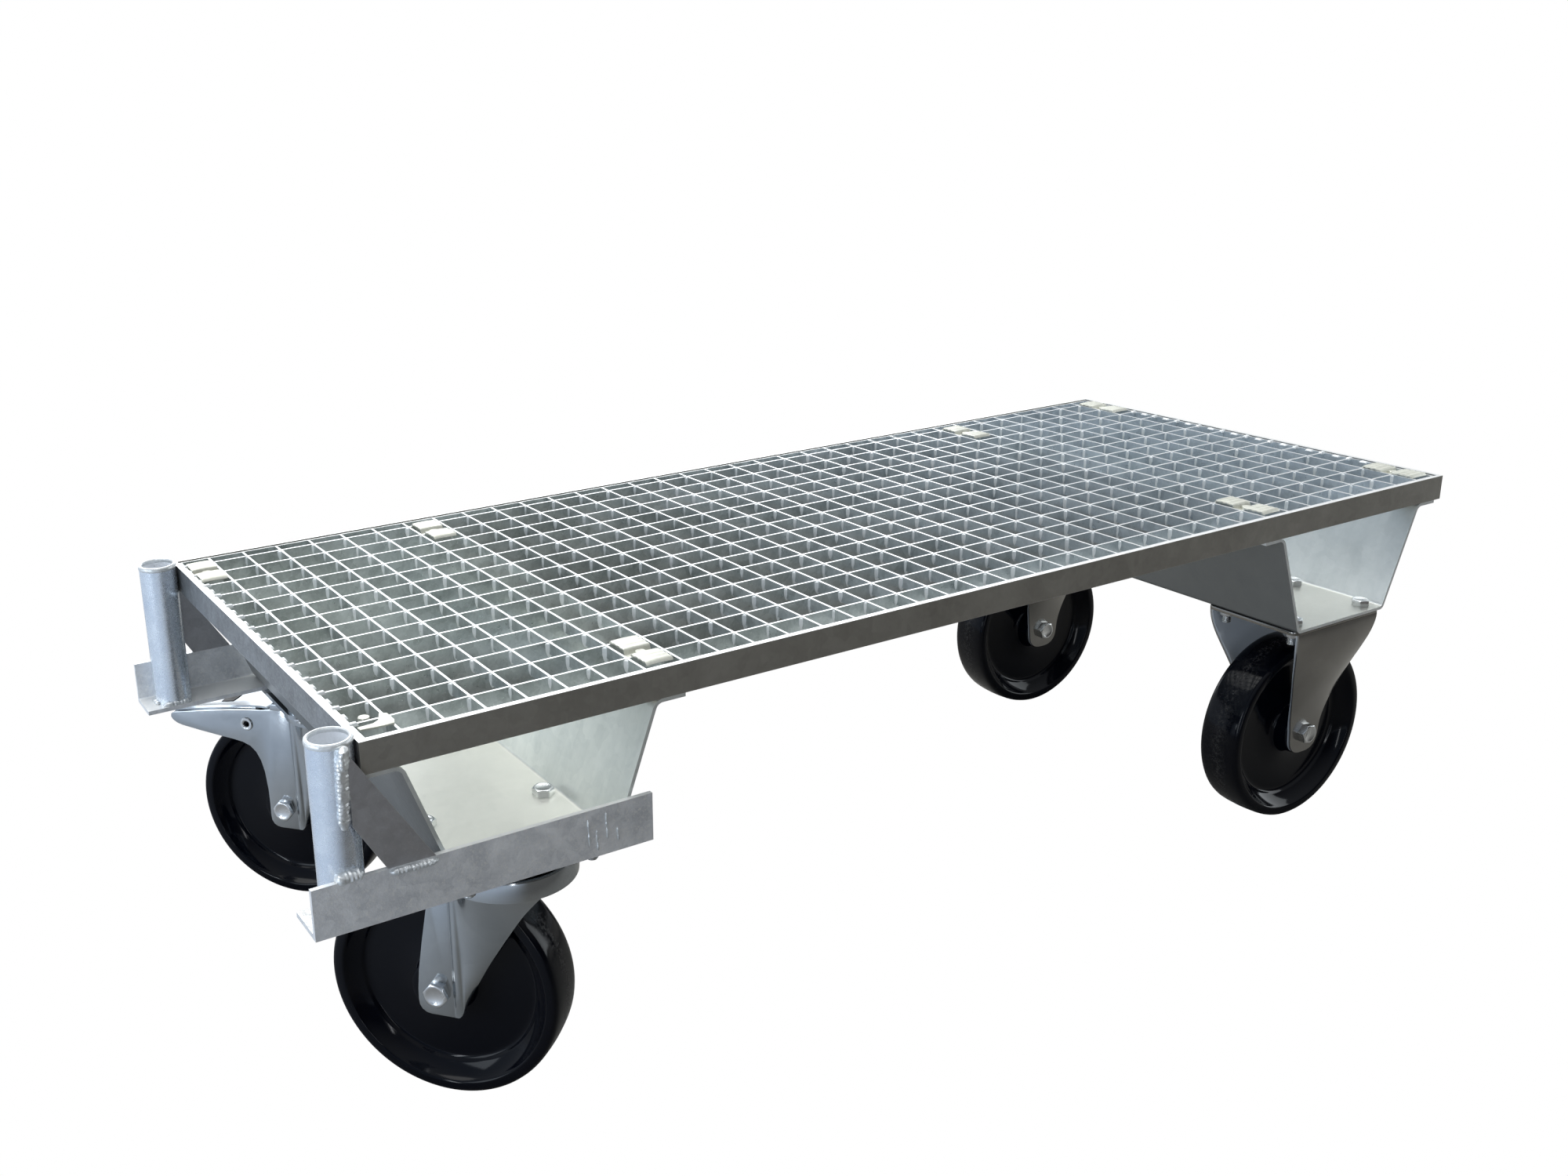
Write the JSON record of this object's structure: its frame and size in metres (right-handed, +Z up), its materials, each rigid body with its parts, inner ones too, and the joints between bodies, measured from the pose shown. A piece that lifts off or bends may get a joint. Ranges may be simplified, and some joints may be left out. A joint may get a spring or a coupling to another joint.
{
  "type": "flatbed platform truck",
  "caption": "Flatbed platform truck: galvanised grating deck on folded channels, fixed and swivel casters with a foot brake, and upright handle sockets.",
  "frame": {"origin": "centre of the bottom of the whole truck's box, on the floor", "axes": "+X along the deck away from the handle sockets, +Y across the deck, +Z up"},
  "size_m": [1.246, 0.5932, 0.3705],
  "materials": {
    "galvanised_steel": "bright galvanised steel, fine spangle",
    "galvanised_sheet": "bright galvanised sheet, satin",
    "hot_dip_steel": "hot-dip galvanised, mottled grey with drips",
    "zinc_plated_steel": "bright zinc plated pressed steel",
    "bright_steel": "bright zinc plated fasteners",
    "bearing_steel": "plain bearing steel",
    "pressed_zinc": "zinc plated pressed clips",
    "black_wheel": "glossy black cast wheel with a scuffed tread",
    "brake_rubber": "matt black rubber"
  },
  "bodies": {
    "frame": {"deck_rail_near": "galvanised_steel", "deck_rail_far": "galvanised_steel", "deck_rail_left": "galvanised_steel", "deck_rail_right": "galvanised_steel", "grating_bearing_bars": "galvanised_steel", "grating_cross_bars": "galvanised_steel", "grating_border_bars": "galvanised_steel", "grating_clips": "pressed_zinc", "grating_clip_bolts": "pressed_zinc", "channel_left": "galvanised_sheet", "channel_right": "galvanised_sheet", "caster_plate_bolts": "bright_steel", "caster_plate_nuts": "bright_steel", "packing_washers": "zinc_plated_steel", "side_angle_near": "hot_dip_steel", "socket_tube_near": "hot_dip_steel", "gusset_near": "hot_dip_steel", "swivel_plate_near": "zinc_plated_steel", "kingpin_near": "zinc_plated_steel", "swivel_balls_near": "bearing_steel", "fixed_fork_near": "zinc_plated_steel", "axle_sleeve_fixed_near": "bearing_steel", "axle_bolt_fixed_near": "bright_steel", "axle_nut_fixed_near": "bright_steel", "side_angle_far": "hot_dip_steel", "socket_tube_far": "hot_dip_steel", "gusset_far": "hot_dip_steel", "swivel_plate_far": "zinc_plated_steel", "kingpin_far": "zinc_plated_steel", "swivel_balls_far": "bearing_steel", "fixed_fork_far": "zinc_plated_steel", "axle_sleeve_fixed_far": "bearing_steel", "axle_bolt_fixed_far": "bright_steel", "axle_nut_fixed_far": "bright_steel"},
    "swivel_near": {"swivel_fork_near": "zinc_plated_steel", "axle_sleeve_swivel_near": "bearing_steel", "axle_bolt_swivel_near": "bright_steel", "axle_nut_swivel_near": "bright_steel"},
    "swivel_far": {"brake_pedal_rivets": "bright_steel", "swivel_fork_far": "zinc_plated_steel", "axle_sleeve_swivel_far": "bearing_steel", "axle_bolt_swivel_far": "bright_steel", "axle_nut_swivel_far": "bright_steel"},
    "pedal": {"brake_pedal": "zinc_plated_steel", "brake_shoe": "brake_rubber"},
    "wheel_swivel_near": {"wheel_swivel_near": "black_wheel", "roller_cage_swivel_near": "bearing_steel"},
    "wheel_fixed_near": {"wheel_fixed_near": "black_wheel", "roller_cage_fixed_near": "bearing_steel"},
    "wheel_swivel_far": {"wheel_swivel_far": "black_wheel", "roller_cage_swivel_far": "bearing_steel"},
    "wheel_fixed_far": {"wheel_fixed_far": "black_wheel", "roller_cage_fixed_far": "bearing_steel"}
  },
  "joints": [
    {"name": "swivel_near_turn", "type": "hinge", "parent": "frame", "child": "swivel_near", "pos_m": [-0.443, -0.23258, 0.214], "axis": [0, 0, 1], "continuous": true},
    {"name": "wheel_swivel_near_spin", "type": "hinge", "parent": "swivel_near", "child": "wheel_swivel_near", "pos_m": [-0.4798, -0.19171, 0.1], "axis": [-0.7431, -0.6691, 0], "continuous": true},
    {"name": "wheel_fixed_near_spin", "type": "hinge", "parent": "frame", "child": "wheel_fixed_near", "pos_m": [0.483, -0.23258, 0.1], "axis": [0, 1, 0], "continuous": true},
    {"name": "swivel_far_turn", "type": "hinge", "parent": "frame", "child": "swivel_far", "pos_m": [-0.443, 0.14542, 0.214], "axis": [0, 0, 1], "continuous": true},
    {"name": "wheel_swivel_far_spin", "type": "hinge", "parent": "swivel_far", "child": "wheel_swivel_far", "pos_m": [-0.4798, 0.18629, 0.1], "axis": [-0.7431, -0.6691, 0], "continuous": true},
    {"name": "wheel_fixed_far_spin", "type": "hinge", "parent": "frame", "child": "wheel_fixed_far", "pos_m": [0.483, 0.14542, 0.1], "axis": [0, 1, 0], "continuous": true},
    {"name": "brake_pedal_press", "type": "hinge", "parent": "swivel_far", "child": "pedal", "pos_m": [-0.50322, 0.2123, 0.189], "axis": [-0.7431, -0.6691, 0], "range_deg": [0, 8]}
  ]
}
